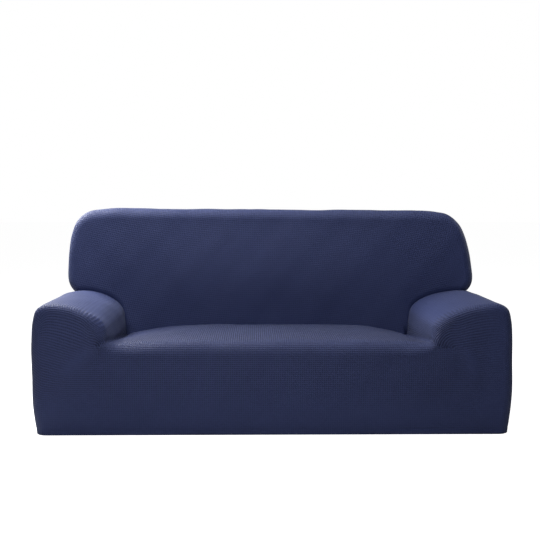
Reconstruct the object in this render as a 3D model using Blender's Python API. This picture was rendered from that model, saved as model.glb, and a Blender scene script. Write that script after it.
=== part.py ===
"""A fitted stretch slipcover for a three-seat sofa with soft round arms.

The cover is one skin of knitted cloth in the shape it takes over the sofa, hollow and open at the floor.
It is sewn from three panels: one over the front, the seat and both arms, one over the backrest, and one
down the rear. The sofa inside isn't modelled.

Frame: X runs along the sofa, the front faces -Y, Z is up, and the origin is on the floor under the middle.
Lengths are in metres.
"""

import math

import bmesh
import bpy
import numpy as np

# Driving dimensions
DEPTH = 0.86  # front of the arms to the rear face
CLOTH = 0.0025  # thickness of the knit
SEAM_GAP = 0.0004  # between two panels at a seam
CREASE_DEPTH = 0.615  # front face to the foot of the backrest
BACK_LEAN = 0.05  # how far the backrest leans to the rear from its foot to its top
BACK_FOOT, BACK_TOP = 0.32, 0.942  # heights that the lean is measured between
BACK_EDGE = 0.05  # rounding between the backrest's face and its sides and top
BACK_PUFF = 0.018  # how far the backrest's face swells
TOP_DROP = 0.014  # how much lower the right end of the backrest's top is than the left
TOP_SHIFT = 0.014  # how far the backrest's top sits to the left of its foot
REAR_EDGE = 0.03  # rounding between the rear face and the sides and top
FRONT_PUFF = 0.010  # how far the front swells between its top edge and the hem
HEM_TUCK = 0.008  # how far the elastic hem draws in under the front and the rear
HEM_REACH = 0.25  # height over which that drawing in eases off
HEM_FROM, HEM_EASE = 0.30, 0.13  # distance in y from the origin where it starts, and over which it grows
SEAT_CROWN = 0.012  # rise of the seat's middle
SEAT_HALF, CROWN_EASE = 0.69, 0.30  # half width where the crown starts, and over which it grows
SEAT_BELOW, ARM_ABOVE = 0.43, 0.46  # the seat lies below the first height and the arms' tops above the second
ARM_CROWNS = 0.009, 0.003  # rise of the left and the right arm's top halfway back
SEAT_SHIFT_FRONT = 0.015  # how far the arms' inner walls sit to the left of even, at the front
SEAT_SHIFT_BACK = 0.022  # and at the backrest
SHIFT_HALF, SHIFT_EASE = 0.68, 0.25  # half width that moves whole, and over which the move fades outwards
GROOVE_FADE = 0.9  # share of the side's waist that is gone at the rear corner
GROOVE_REACH = 0.07  # height of the waist above and below its seam
SIDE_PLAIN = 1.006  # half width of the plain rear corner
SKEW_FROM, SKEW_EASE = 0.60, 0.30  # height where the drop and shift of the top start, and over which they grow
SIDE_REACH = 0.22  # share of a face's width over which its side edges bend the weave
STEEP_SHARE = 0.35  # width at the hem of cloth that stands upright above it, as a share of its height
CENTRING = 0.0046  # shift to the rear that leaves the swollen front as far from the origin as the rear

FRONT_Y = -DEPTH / 2 + CENTRING
REAR_Y = DEPTH / 2 + CENTRING
CREASE_Y = FRONT_Y + CREASE_DEPTH

# Cells of the grid that the tables below don't set
EDGE_CELLS = 3  # across the rounded front edges
DEPTH_CELLS = 11  # from the front edge back to the backrest
FLANK_CELLS = 4  # from the backrest's face back to the rear edge

# Half of the section across arms and seat, from the hem up the outer side, over the arm and down to the middle
# of the seat: x and z of the skin just behind the rounded front edge, x and z where that rounding runs out on
# the front face, x and z at the backrest, how deep the rounding is, and the grid cells up to the next row.
# The first SIDE_ROWS rows are the outer side.
BODY_SECTION = (
    # name, front x, front z, face x, face z, back x, back z, edge depth, cells
    ("hem", 1.002, 0.000, 0.952, 0.000, 1.002, 0.000, 0.050, 2),
    ("side low", 1.013, 0.120, 0.962, 0.120, 1.013, 0.120, 0.050, 2),
    ("side middle", 1.015, 0.260, 0.965, 0.258, 1.015, 0.260, 0.050, 2),
    ("side high", 1.011, 0.400, 0.965, 0.390, 1.010, 0.396, 0.045, 2),
    ("under shoulder", 1.001, 0.485, 0.962, 0.464, 0.999, 0.480, 0.037, 1),
    ("shoulder", 0.984, 0.530, 0.953, 0.499, 0.982, 0.524, 0.033, 3),
    ("arm outer", 0.944, 0.552, 0.928, 0.519, 0.932, 0.537, 0.033, 2),
    ("arm top", 0.872, 0.551, 0.866, 0.517, 0.870, 0.531, 0.035, 2),
    ("arm slope", 0.795, 0.532, 0.803, 0.499, 0.800, 0.512, 0.035, 2),
    ("brow", 0.722, 0.499, 0.764, 0.478, 0.743, 0.482, 0.038, 2),
    ("brow low", 0.684, 0.460, 0.738, 0.445, 0.712, 0.444, 0.042, 2),
    ("wall", 0.678, 0.412, 0.722, 0.398, 0.704, 0.385, 0.044, 1),
    ("crease", 0.699, 0.374, 0.706, 0.352, 0.708, 0.327, 0.040, 1),
    ("seat rim", 0.664, 0.375, 0.670, 0.330, 0.672, 0.338, 0.052, 1),
    ("seat outer", 0.600, 0.387, 0.606, 0.329, 0.600, 0.354, 0.062, 2),
    ("seat inner", 0.440, 0.396, 0.442, 0.333, 0.440, 0.367, 0.065, 4),
    ("middle", 0.000, 0.398, 0.000, 0.334, 0.000, 0.369, 0.065, 0),
)
SIDE_ROWS = 5

# Half of the backrest's outline, seen from the front: from the seam above the arm up the side and over the
# corner to the middle of the top. The first BACK_SIDE_ROWS rows are its side.
BACK_OUTLINE = (
    # name, x, z, cells
    ("seam", 0.982, 0.524, 1),
    ("tuck", 1.006, 0.556, 1),
    ("bulge", 1.016, 0.592, 2),
    ("side", 1.011, 0.670, 2),
    ("side high", 0.999, 0.760, 1),
    ("corner low", 0.985, 0.818, 2),
    ("corner", 0.951, 0.876, 3),
    ("corner high", 0.895, 0.918, 3),
    ("top outer", 0.800, 0.938, 5),
    ("top inner", 0.550, 0.942, 8),
    ("middle", 0.000, 0.942, 0),
)
BACK_SIDE_ROWS = 6


def smooth_step(value):
    """0 below 0 and 1 above 1, with level ends: 3v^2 - 2v^3 between them."""
    value = np.clip(value, 0.0, 1.0)
    return value * value * (3.0 - 2.0 * value)


def centripetal(points, cells):
    """A smooth curve through all the points, with the given number of cells after each of them.

    Each stretch is a cubic whose end slopes follow the neighbouring points, weighed by the square root
    of their distances, which keeps it from overshooting where the points lie close together.
    """
    points = np.asarray(points, dtype=float)
    knots = np.concatenate([[0.0], np.cumsum(np.linalg.norm(np.diff(points[:, :2], axis=0), axis=1) ** 0.5)])
    slopes = np.gradient(points, knots, axis=0)
    curve = [points[:1]]
    for i, count in enumerate(cells[:-1]):
        span = knots[i + 1] - knots[i]
        v = (np.arange(1, count + 1) / count)[:, None]
        h00 = 2 * v**3 - 3 * v**2 + 1
        h10 = v**3 - 2 * v**2 + v
        h01 = 3 * v**2 - 2 * v**3
        h11 = v**3 - v**2
        curve.append(
            h00 * points[i] + h10 * span * slopes[i] + h01 * points[i + 1] + h11 * span * slopes[i + 1]
        )
    return np.concatenate(curve)


def whole(half):
    """A half curve at x > 0 that ends on the middle, made whole: left half first, then the right one."""
    left = half.copy()
    left[:, 0] *= -1.0
    return np.concatenate([left, half[-2::-1]])


def table_curve(table, columns):
    """The curve through the named columns of a table, from its left end to its right end."""
    points = np.array([[row[c] for c in columns] for row in table])
    return whole(centripetal(points, [row[-1] for row in table]))


def outward(curve):
    """Unit normals of a curve that runs from the left hem over the top to the right hem, pointing out."""
    tangent = np.gradient(curve[:, :2], axis=0)
    normal = np.stack([-tangent[:, 1], tangent[:, 0]], axis=1)
    for end in (0, -1):
        if curve[end, 1] == 0.0:
            normal[end, 1] = 0.0
    return normal / np.linalg.norm(normal, axis=1, keepdims=True)


def shifted(curve, shift):
    """The section with its inner walls and seat moved to the left, the outer sides staying."""
    moved = curve.copy()
    moved[:, 0] -= shift * (1 - smooth_step((np.abs(curve[:, 0]) - SHIFT_HALF) / SHIFT_EASE))
    return moved


def back_face_y(z):
    """How far back the backrest's face is at a height: its foot, and then its lean."""
    return CREASE_Y + BACK_LEAN * (z - BACK_FOOT) / (BACK_TOP - BACK_FOOT)


def arc_share(points):
    """How far along a curve each of its points is, from 0 to 1."""
    length = np.concatenate([[0.0], np.cumsum(np.linalg.norm(np.diff(points, axis=0), axis=1))])
    return length / length[-1]


def patch_between(bottom, top, left, right):
    """A patch between four edges: straight lines from bottom to top, bent to meet the left and right edges.

    The rows are spread as on the left edge, and the bend fades out over SIDE_REACH of the width.
    """
    t = arc_share(left)[:, None, None]
    patch = (1 - t) * bottom[None] + t * top[None]
    s = np.linspace(0.0, 1.0, len(bottom))[None, :, None]
    left_gap = (left - patch[:, 0])[:, None]
    right_gap = (right - patch[:, -1])[:, None]
    left_gap = left_gap * (1 - smooth_step(s / SIDE_REACH))
    right_gap = right_gap * smooth_step((s - 1) / SIDE_REACH + 1)
    return patch + left_gap + right_gap


def hem_line(left_x, right_x, above):
    """Points along the hem under an upper edge of x, z points, spread as the cloth above is."""
    step = np.abs(np.diff(above, axis=0))
    length = np.concatenate([[0.0], np.cumsum(step[:, 0] + STEEP_SHARE * step[:, 1])])
    x = left_x + (right_x - left_x) * length / length[-1]
    return np.stack([x, np.zeros(len(x))], axis=1)


def swelling(t, across):
    """1 in the middle of a face and 0 at its edges, level there. t is 0 to 1 up it and across -1 to 1."""
    return (4 * t * (1 - t)) ** 1.5 * np.clip(1 - across**2, 0.0, 1.0) ** 1.5


def plan(curve, y):
    """x, y, z points from an (x, z) curve or patch and its y."""
    return np.stack([curve[..., 0], np.broadcast_to(y, curve.shape[:-1]), curve[..., 1]], axis=-1)


def rounded_edge(section, radius, y, turn):
    """A quarter round that leads from a face at y to the skin along the section, as rows of points.

    turn is 1 for a face at the front and -1 for one at the rear. Row 0 lies on the face and is the
    section moved in by the radius, and the last row lies on the section.
    """
    normal = outward(section)
    rows = []
    for k in range(EDGE_CELLS + 1):
        angle = 0.5 * math.pi * k / EDGE_CELLS
        inset = section - normal * radius * (1 - math.sin(angle))
        rows.append(plan(inset, y + turn * radius * (1 - math.cos(angle))))
    return np.stack(rows)


def cell_counts():
    """Cells along the outer side, across the top, and up the side of the backrest."""
    side = sum(row[-1] for row in BODY_SECTION[:SIDE_ROWS])
    across = 2 * sum(row[-1] for row in BODY_SECTION[SIDE_ROWS:])
    back_side = sum(row[-1] for row in BACK_OUTLINE[:BACK_SIDE_ROWS])
    return side, across, back_side


def back_section():
    """The section where seat and arms meet the backrest, as x, y, z points, and the backrest's own part of it.

    Over the rounded corner of the backrest the points follow its quarter round towards the rear.
    """
    side, across, _ = cell_counts()
    curve = shifted(table_curve(BODY_SECTION, (5, 6)), SEAT_SHIFT_BACK)
    y = back_face_y(curve[:, 1])
    for k in range(EDGE_CELLS + 1):
        angle = 0.5 * math.pi * k / EDGE_CELLS
        in_x = BACK_EDGE * (1 - math.cos(angle))
        back_y = BACK_EDGE * (1 - math.sin(angle))
        for i, sign in ((side + k, -1), (side + across - k, 1)):
            curve[i, 0] = sign * (BODY_SECTION[SIDE_ROWS][5] - in_x)
            y[i] = back_face_y(curve[i, 1]) + back_y
    y[:side] = y[side]
    y[side + across + 1 :] = y[side + across]
    return plan(curve, y)


def body_patches(back):
    """The front, its rounded edge, and the skin from there back to the backrest."""
    side, across, _ = cell_counts()
    front = shifted(table_curve(BODY_SECTION, (1, 2)), SEAT_SHIFT_FRONT)
    rim = shifted(table_curve(BODY_SECTION, (3, 4)), SEAT_SHIFT_FRONT)
    depth = table_curve(BODY_SECTION, (1, 2, 7))[:, 2]
    turn = 0.5 * math.pi * np.arange(EDGE_CELLS + 1)[:, None] / EDGE_CELLS
    edge = plan(rim + (front - rim) * np.sin(turn)[..., None], FRONT_Y + depth * (1 - np.cos(turn)))

    left, right = rim[: side + 1], rim[side + across :][::-1]
    top = rim[side : side + across + 1]
    bottom = hem_line(left[0, 0], right[0, 0], top)
    face = patch_between(bottom, top, left, right)
    swell = FRONT_PUFF * swelling(arc_share(left)[:, None], face[..., 0] / left[1, 0])
    face = plan(face, FRONT_Y - swell)

    share = np.linspace(0.0, 1.0, DEPTH_CELLS + 1)[:, None, None]
    start = edge[-1]
    skin = start * (1 - share) + back * share
    halfway = np.sin(math.pi * share[:, :, 0])
    low = smooth_step((SEAT_BELOW - skin[..., 2]) / 0.02)
    seat_crown = SEAT_CROWN * low * smooth_step((SEAT_HALF - np.abs(skin[..., 0])) / CROWN_EASE)
    high = smooth_step((skin[..., 2] - ARM_ABOVE) / 0.05)
    arm_crown = high * np.where(skin[..., 0] < 0, *ARM_CROWNS)
    skin[..., 2] += halfway * (seat_crown + arm_crown)
    return face, edge, skin


def square_up(points, share):
    """Draws the waist between arm and backrest out to a plain corner. share is 0 to 1 on the way back."""
    near_seam = np.exp(-(((points[..., 2] - BACK_OUTLINE[0][2]) / GROOVE_REACH) ** 2))
    gap = np.maximum(SIDE_PLAIN - np.abs(points[..., 0]), 0.0)
    moved = points.copy()
    moved[..., 0] += np.sign(points[..., 0]) * gap * near_seam * GROOVE_FADE * smooth_step(share)
    return moved


def backrest_patches(back):
    """The backrest's face and rounded edge, the flank back to the rear, the rear edge and the rear face."""
    side, across, back_side = cell_counts()
    outline = table_curve(BACK_OUTLINE, (1, 2))
    high = smooth_step((outline[:, 1] - SKEW_FROM) / SKEW_EASE)
    outline[:, 1] -= TOP_DROP * high * (outline[:, 0] + 1) / 2
    outline[:, 0] -= TOP_SHIFT * high
    ring = np.concatenate([back[:side][:, [0, 2]], outline, back[-side:][:, [0, 2]]])

    edge = rounded_edge(ring, BACK_EDGE, 0.0, 1)[:, side : len(ring) - side]
    edge[..., 1] += back_face_y(edge[..., 2])
    edge[:, 0] = back[side : side + EDGE_CELLS + 1][::-1]
    edge[:, -1] = back[side + across - EDGE_CELLS : side + across + 1]

    rim = edge[0]
    bottom = back[side + EDGE_CELLS : side + across - EDGE_CELLS + 1]
    left, right = rim[: back_side + 1], rim[len(rim) - back_side - 1 :][::-1]
    top = rim[back_side : len(rim) - back_side]
    face = patch_between(bottom, top, left, right)
    face[..., 1] = back_face_y(face[..., 2])
    face[0] = bottom
    face[..., 1] -= BACK_PUFF * swelling(arc_share(left)[:, None], face[..., 0] / left[0, 0])

    start = np.concatenate([back[:side], edge[-1], back[-side:]])
    end = plan(ring, REAR_Y - REAR_EDGE)
    share = np.linspace(0.0, 1.0, FLANK_CELLS + 1)[:, None]
    flank = start[None] * (1 - share[..., None]) + end[None] * share[..., None]
    flank = square_up(flank, np.broadcast_to(share, flank.shape[:-1]))

    ring_end = flank[-1][:, [0, 2]]
    rear_edge = rounded_edge(ring_end, REAR_EDGE, REAR_Y, -1)
    rim = rear_edge[0]
    tall = side + back_side
    left, right = rim[: tall + 1], rim[len(rim) - tall - 1 :][::-1]
    top = rim[tall : len(rim) - tall]
    hem = plan(hem_line(left[0, 0], right[0, 0], top[:, [0, 2]]), REAR_Y)
    rear = patch_between(hem, top, left, right)
    return face, edge, flank, rear_edge, rear


def rows_to(bm, patch, panels):
    """Adds a grid of points to the mesh. panels gives the number of the panel that each of its cells is in."""
    rows, columns = patch.shape[:2]
    verts = [[bm.verts.new(point) for point in row] for row in patch]
    for r in range(rows - 1):
        for c in range(columns - 1):
            if panels[r, c] < 0:
                continue
            face = bm.faces.new((verts[r][c], verts[r][c + 1], verts[r + 1][c + 1], verts[r + 1][c]))
            face.material_index = int(panels[r, c])


SEAT_AND_ARMS, BACKREST, REAR = 0, 1, 2


def skin_mesh():
    """The whole outer skin as one mesh, with each cell's panel as its material index."""
    side, across, back_side = cell_counts()
    back = back_section()
    bm = bmesh.new()

    def filled(patch, panel):
        return np.full((patch.shape[0] - 1, patch.shape[1] - 1), panel)

    face, edge, skin = body_patches(back)
    for patch in (face, edge[::-1][:, ::-1], skin[::-1][:, ::-1]):
        rows_to(bm, patch, filled(patch, SEAT_AND_ARMS))
    face, edge, flank, rear_edge, rear = backrest_patches(back)
    for patch in (face, edge[::-1][:, ::-1]):
        rows_to(bm, patch, filled(patch, BACKREST))
    owner = filled(flank, BACKREST)
    owner[:, :side] = SEAT_AND_ARMS
    owner[:, -side:] = SEAT_AND_ARMS
    rows_to(bm, flank[::-1][:, ::-1], owner[::-1][:, ::-1])
    corner = filled(rear_edge, REAR)
    corner[EDGE_CELLS // 2 + 1 :] = owner[0]
    rows_to(bm, rear_edge[:, ::-1], corner[:, ::-1])
    rows_to(bm, rear[:, ::-1], filled(rear, REAR))
    bmesh.ops.remove_doubles(bm, verts=bm.verts, dist=2e-5)
    bmesh.ops.recalc_face_normals(bm, faces=bm.faces)
    return bm


def tuck_hem(bm):
    """Draws the lowest part of the front and the rear in towards the middle, most at the hem itself."""
    for vert in bm.verts:
        reach = max(0.0, 1.0 - vert.co.z / HEM_REACH)
        side = math.copysign(1.0, vert.co.y)
        inward = smooth_step((abs(vert.co.y) - HEM_FROM) / HEM_EASE)
        vert.co.y -= side * HEM_TUCK * float(inward) * reach * reach


def panel_object(name, bm, panel, colour):
    """One panel as a closed sheet: its outer skin, the same moved in by the cloth, and rims between them."""
    faces = [face for face in bm.faces if face.material_index == panel]
    verts = sorted({vert for face in faces for vert in face.verts}, key=lambda vert: vert.index)
    number = {vert: i for i, vert in enumerate(verts)}
    outer = np.array([vert.co for vert in verts], dtype=float)
    normal = np.array([vert.normal for vert in verts], dtype=float)
    inner = outer - CLOTH * normal

    border = []
    for face in faces:
        for loop in face.loops:
            others = [near for near in loop.edge.link_faces if near.material_index == panel]
            if len(others) == 1:
                border.append((number[loop.vert], number[loop.link_loop_next.vert]))
    on_seam = {number[vert] for vert in verts if len({face.material_index for face in vert.link_faces}) > 1}
    on_hem = {number[vert] for vert in verts if vert.co.z < 1e-5}

    along = {i: np.zeros(3) for i in on_seam}
    for a, b in border:
        for i in (a, b):
            if i in along:
                along[i] += outer[b] - outer[a]
    for i, tangent in along.items():
        own = [face.calc_center_median() for face in verts[i].link_faces if face.material_index == panel]
        into = np.mean(np.array(own), axis=0) - outer[i]
        tangent = tangent / np.linalg.norm(tangent)
        into -= tangent * into.dot(tangent)
        if i in on_hem:
            into[2] = 0.0
        shift = into / np.linalg.norm(into) * SEAM_GAP / 2
        outer[i] += shift
        inner[i] += shift
    for i in on_hem:
        inner[i, 2] = 0.0

    count = len(verts)
    cells = [[number[vert] for vert in face.verts] for face in faces]
    cells += [[count + cell[k] for k in (0, 3, 2, 1)] for cell in cells]
    order = outer @ (1.0, 3.0, 7.0)  # the same on both sides of a seam, so that their rims split alike
    for a, b in border:
        if order[a] < order[b]:
            cells += [[b, a, count + a], [b, count + a, count + b]]
        else:
            cells += [[b, a, count + b], [a, count + a, count + b]]
    mesh = bpy.data.meshes.new(name)
    mesh.from_pydata(np.concatenate([outer, inner]).tolist(), [], cells)
    mesh.shade_smooth()
    mesh.set_sharp_from_angle(angle=math.radians(50))
    mesh.materials.append(knit(name, colour))
    cover = bpy.data.objects.new(name, mesh)
    bpy.context.collection.objects.link(cover)
    return cover


def knit(name, colour):
    """Dull knitted cloth."""
    material = bpy.data.materials.new(name + "_knit")
    material.use_nodes = True
    shader = material.node_tree.nodes["Principled BSDF"]
    shader.inputs["Base Color"].default_value = (*colour, 1.0)
    shader.inputs["Roughness"].default_value = 0.85
    shader.inputs["Metallic"].default_value = 0.0
    return material


def main():
    """Builds the skin once and cuts the three panels from it."""
    for thing in list(bpy.data.objects):
        bpy.data.objects.remove(thing)
    bm = skin_mesh()
    tuck_hem(bm)
    bm.normal_update()
    bm.verts.index_update()
    navy = (0.030, 0.038, 0.090)
    panel_object("seat_and_arms_panel", bm, SEAT_AND_ARMS, navy)
    panel_object("backrest_panel", bm, BACKREST, navy)
    panel_object("rear_panel", bm, REAR, navy)
    bm.free()


main()
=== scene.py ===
# %% [markdown]
# # A fitted stretch slipcover for a sofa
#
# The real cover is one skin of navy waffle knit, sewn from three panels: one over the front, the seat and both
# arms, one over the backrest and one down the rear. It is stretched tight, so it has few folds. Its character
# comes from soft round edges, from the small square hollows of the knit, and from how the rows of the knit
# bend round the arms. So this lesson works out one smooth skin with numpy, lays the knit's own rows and
# columns on it as a UV map, and cuts the three panels from it.

import math

import bpy
import numpy as np
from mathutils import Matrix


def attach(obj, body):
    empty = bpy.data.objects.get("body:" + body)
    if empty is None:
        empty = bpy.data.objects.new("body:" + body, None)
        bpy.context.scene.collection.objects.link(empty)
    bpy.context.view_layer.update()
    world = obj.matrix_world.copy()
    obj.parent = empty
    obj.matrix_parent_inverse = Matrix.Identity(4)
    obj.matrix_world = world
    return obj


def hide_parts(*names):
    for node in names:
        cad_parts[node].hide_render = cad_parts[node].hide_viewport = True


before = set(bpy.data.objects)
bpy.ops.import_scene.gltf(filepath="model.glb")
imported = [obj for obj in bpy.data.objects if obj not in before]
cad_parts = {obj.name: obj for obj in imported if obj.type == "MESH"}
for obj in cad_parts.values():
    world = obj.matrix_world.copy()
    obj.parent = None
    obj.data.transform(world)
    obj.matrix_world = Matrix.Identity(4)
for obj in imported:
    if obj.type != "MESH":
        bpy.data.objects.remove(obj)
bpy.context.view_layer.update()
print("CAD nodes:", sorted(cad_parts))

# %% [markdown]
# ## Sizes
#
# A reader who changes a cover starts here. All lengths are in metres, X runs along the sofa, the front faces
# -Y and Z is up. The first group sets the form, the second how finely it is divided.

# %% Sizes of the cover
DEPTH = 0.86  # front of the arms to the rear
CLOTH = 0.0025  # thickness of the knit
SEAM_GAP = 0.0004  # between two panels at a seam
CREASE_DEPTH = 0.615  # front to the foot of the backrest
BACK_LEAN = 0.05  # lean of the backrest between these two heights
BACK_FOOT, BACK_TOP = 0.32, 0.942
BACK_EDGE = 0.05  # rounding round the backrest's face
BACK_PUFF = 0.018  # swelling of the backrest's face
TOP_DROP, TOP_SHIFT = 0.014, 0.014  # how much lower the top's right end is, and how far left the top sits
REAR_EDGE = 0.03  # rounding round the rear face
FRONT_PUFF = 0.010  # swelling of the front
HEM_TUCK, HEM_REACH = 0.008, 0.25  # how far the elastic draws in, and up to what height
HEM_FROM, HEM_EASE = 0.30, 0.13  # where along Y the drawing in starts, and over what length
SEAT_CROWN, ARM_CROWNS = 0.012, (0.009, 0.003)  # rise of the seat and of the left and right arm
SEAT_HALF, CROWN_EASE = 0.69, 0.30  # half width of the seat, and how far in its crown grows
SEAT_TO, ARM_FROM = (0.43, 0.02), (0.46, 0.05)  # height where the seat ends and the arm begins, and the ease
SHIFT_FRONT, SHIFT_BACK = 0.015, 0.022  # how far the inner walls sit to the left
SHIFT_HALF, SHIFT_EASE = 0.68, 0.25  # half width that moves whole, and how far out the move fades
GROOVE_FADE, GROOVE_REACH, SIDE_PLAIN = 0.9, 0.07, 1.006  # how the side's waist runs out at the rear
SKEW_FROM, SKEW_EASE = 0.60, 0.30  # heights over which the top's drop and shift grow
SIDE_REACH, STEEP_SHARE = 0.22, 0.35  # how the grid lines spread over the faces
CENTRING = 0.0046  # puts the middle of the whole cover on the origin

FRONT_Y = -DEPTH / 2 + CENTRING
REAR_Y = DEPTH / 2 + CENTRING
CREASE_Y = FRONT_Y + CREASE_DEPTH

SIDE_FINE, TOP_FINE, BACK_FINE = 11, 5, 6  # cells for each cell of the tables: up the sides, across, up the backrest
FRONT_EDGE_CELLS, REAR_EDGE_CELLS = 12, 12  # cells across the rounded edges
BACK_EDGE_CELLS = 3 * TOP_FINE
DEPTH_CELLS, FLANK_CELLS = 34, 14  # cells from the front edge to the backrest, and from there to the rear

# %% [markdown]
# ## Two tables of sections
#
# An upholsterer measures a sofa with a few profiles. The first table is half of the section across the arm and
# the seat: at the front, where the rounded edge runs out on the front face, and at the backrest. The second is
# half of the backrest's outline. Both halves are mirrored later.

# %% Sections
BODY_SECTION = (
    # name, front x, front z, face x, face z, back x, back z, edge depth, cells
    ("hem", 1.002, 0.000, 0.952, 0.000, 1.002, 0.000, 0.050, 2),
    ("side low", 1.013, 0.120, 0.962, 0.120, 1.013, 0.120, 0.050, 2),
    ("side middle", 1.015, 0.260, 0.965, 0.258, 1.015, 0.260, 0.050, 2),
    ("side high", 1.011, 0.400, 0.965, 0.390, 1.010, 0.396, 0.045, 2),
    ("under shoulder", 1.001, 0.485, 0.962, 0.464, 0.999, 0.480, 0.037, 1),
    ("shoulder", 0.984, 0.530, 0.953, 0.499, 0.982, 0.524, 0.033, 3),
    ("arm outer", 0.944, 0.552, 0.928, 0.519, 0.932, 0.537, 0.033, 2),
    ("arm top", 0.872, 0.551, 0.866, 0.517, 0.870, 0.531, 0.035, 2),
    ("arm slope", 0.795, 0.532, 0.803, 0.499, 0.800, 0.512, 0.035, 2),
    ("brow", 0.722, 0.499, 0.764, 0.478, 0.743, 0.482, 0.038, 2),
    ("brow low", 0.688, 0.460, 0.738, 0.445, 0.712, 0.444, 0.042, 2),
    ("wall", 0.681, 0.422, 0.718, 0.411, 0.701, 0.382, 0.044, 1),
    ("crease", 0.677, 0.394, 0.702, 0.377, 0.694, 0.316, 0.040, 1),
    ("seat rim", 0.654, 0.386, 0.666, 0.350, 0.668, 0.325, 0.052, 1),
    ("seat outer", 0.600, 0.389, 0.606, 0.335, 0.600, 0.342, 0.062, 2),
    ("seat inner", 0.440, 0.396, 0.442, 0.333, 0.440, 0.363, 0.065, 4),
    ("middle", 0.000, 0.398, 0.000, 0.334, 0.000, 0.369, 0.065, 0),
)
SIDE_ROWS, CREASE_ROW = 5, 12  # the first rows are the outer side; the row of the crease beside the seat

BACK_OUTLINE = (
    # name, x, z, cells
    ("seam", 0.982, 0.524, 1),
    ("tuck", 1.006, 0.556, 1),
    ("bulge", 1.016, 0.592, 2),
    ("side", 1.011, 0.670, 2),
    ("side high", 0.999, 0.760, 1),
    ("corner low", 0.985, 0.818, 2),
    ("corner", 0.956, 0.881, 3),
    ("corner high", 0.901, 0.926, 3),
    ("top outer", 0.805, 0.941, 5),
    ("top inner", 0.550, 0.942, 8),
    ("middle", 0.000, 0.942, 0),
)
BACK_SIDE_ROWS = 6  # the first rows are its side

side = SIDE_FINE * sum(row[-1] for row in BODY_SECTION[:SIDE_ROWS])
across = TOP_FINE * 2 * sum(row[-1] for row in BODY_SECTION[SIDE_ROWS:])
back_side = BACK_FINE * sum(row[-1] for row in BACK_OUTLINE[:BACK_SIDE_ROWS])
to_crease = TOP_FINE * sum(row[-1] for row in BODY_SECTION[SIDE_ROWS:CREASE_ROW])
print("cells up the side, across, and up the backrest's side:", side, across, back_side)

# %% [markdown]
# ## Curves through the tables
#
# A curve that passes through every measured point, without overshooting where the points lie close together, is
# a chain of cubics whose knots are spaced by the square root of the distances. The rest are small helpers.


# %% Curve helpers
def smooth_step(value):
    """0 below 0 and 1 above 1, with level ends: 3v^2 - 2v^3 between them."""
    value = np.clip(value, 0.0, 1.0)
    return value * value * (3.0 - 2.0 * value)


def from_on(value, place, ease):
    """0 up to a place, 1 from the place plus the ease on."""
    return smooth_step((value - place) / ease)


def up_to(value, place, ease):
    """1 up to a place less the ease, 0 from the place on."""
    return smooth_step((place - value) / ease)


def bell(distance, width):
    """exp(-(distance / width)^2): 1 in the middle, and soon 0 beyond the width."""
    return np.exp(-((distance / width) ** 2))


def along(points, axis=0):
    """Length walked along a grid of points in one direction, from 0 at its start."""
    step = np.linalg.norm(np.diff(points, axis=axis), axis=-1)
    start = np.zeros_like(np.take(step, [0], axis=axis))
    return np.concatenate([start, np.cumsum(step, axis=axis)], axis=axis)


def centripetal(points, cells):
    """Cubic Hermite curve through the points: value = h00 p0 + h10 d0 + h01 p1 + h11 d1 in each stretch."""
    points = np.asarray(points, dtype=float)
    knots = np.concatenate([[0.0], np.cumsum(np.linalg.norm(np.diff(points[:, :2], axis=0), axis=1) ** 0.5)])
    slopes = np.gradient(points, knots, axis=0)
    curve = [points[:1]]
    for i, count in enumerate(cells[:-1]):
        span = knots[i + 1] - knots[i]
        v = (np.arange(1, count + 1) / count)[:, None]
        start = (2 * v**3 - 3 * v**2 + 1) * points[i] + (v**3 - 2 * v**2 + v) * span * slopes[i]
        end = (3 * v**2 - 2 * v**3) * points[i + 1] + (v**3 - v**2) * span * slopes[i + 1]
        curve.append(start + end)
    return np.concatenate(curve)


def table_curve(table, columns, low_rows, low_fine, high_fine):
    """The curve through two or three columns of a table, mirrored, from its left end to its right end."""
    points = [[row[c] for c in columns] for row in table]
    cells = [row[-1] * (low_fine if i < low_rows else high_fine) for i, row in enumerate(table)]
    half = centripetal(points, cells)
    left = half.copy()
    left[:, 0] *= -1.0
    return np.concatenate([left, half[-2::-1]])


def body_curve(*columns):
    """A section across arms and seat from the given columns of its table."""
    return table_curve(BODY_SECTION, columns, SIDE_ROWS, SIDE_FINE, TOP_FINE)


def outward(curve):
    """Unit normals of a curve that runs from the left over the top to the right: the tangent turned left."""
    tangent = np.gradient(curve[:, :2], axis=0)
    normal = np.stack([-tangent[:, 1], tangent[:, 0]], axis=1)
    normal[[0, -1], 1] *= curve[[0, -1], 1] != 0.0
    return normal / np.linalg.norm(normal, axis=1, keepdims=True)


def plan(curve, y):
    """x, y, z points from an (x, z) curve and its y."""
    return np.stack([curve[..., 0], np.broadcast_to(y, curve.shape[:-1]), curve[..., 1]], axis=-1)


print("front section:", len(body_curve(1, 2)), "points")

# %% [markdown]
# ## Patches
#
# Each face of the sofa becomes a grid between four edges. The rounded edges are quarter rounds swept along a
# section. Where two patches meet, they share exactly the same points, so that the skin can be joined there.


# %% Patch helpers
def shifted(curve, shift):
    """The section with its inner walls and seat moved to the left, the outer sides staying."""
    moved = curve.copy()
    moved[:, 0] -= shift * (1 - from_on(np.abs(curve[:, 0]), SHIFT_HALF, SHIFT_EASE))
    return moved


def back_face_y(z):
    """How far back the backrest's face is at a height: its foot plus its lean."""
    return CREASE_Y + BACK_LEAN * (z - BACK_FOOT) / (BACK_TOP - BACK_FOOT)


def share_along(points):
    """How far along a curve each of its points is, from 0 to 1."""
    length = along(points)
    return length / length[-1]


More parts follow.
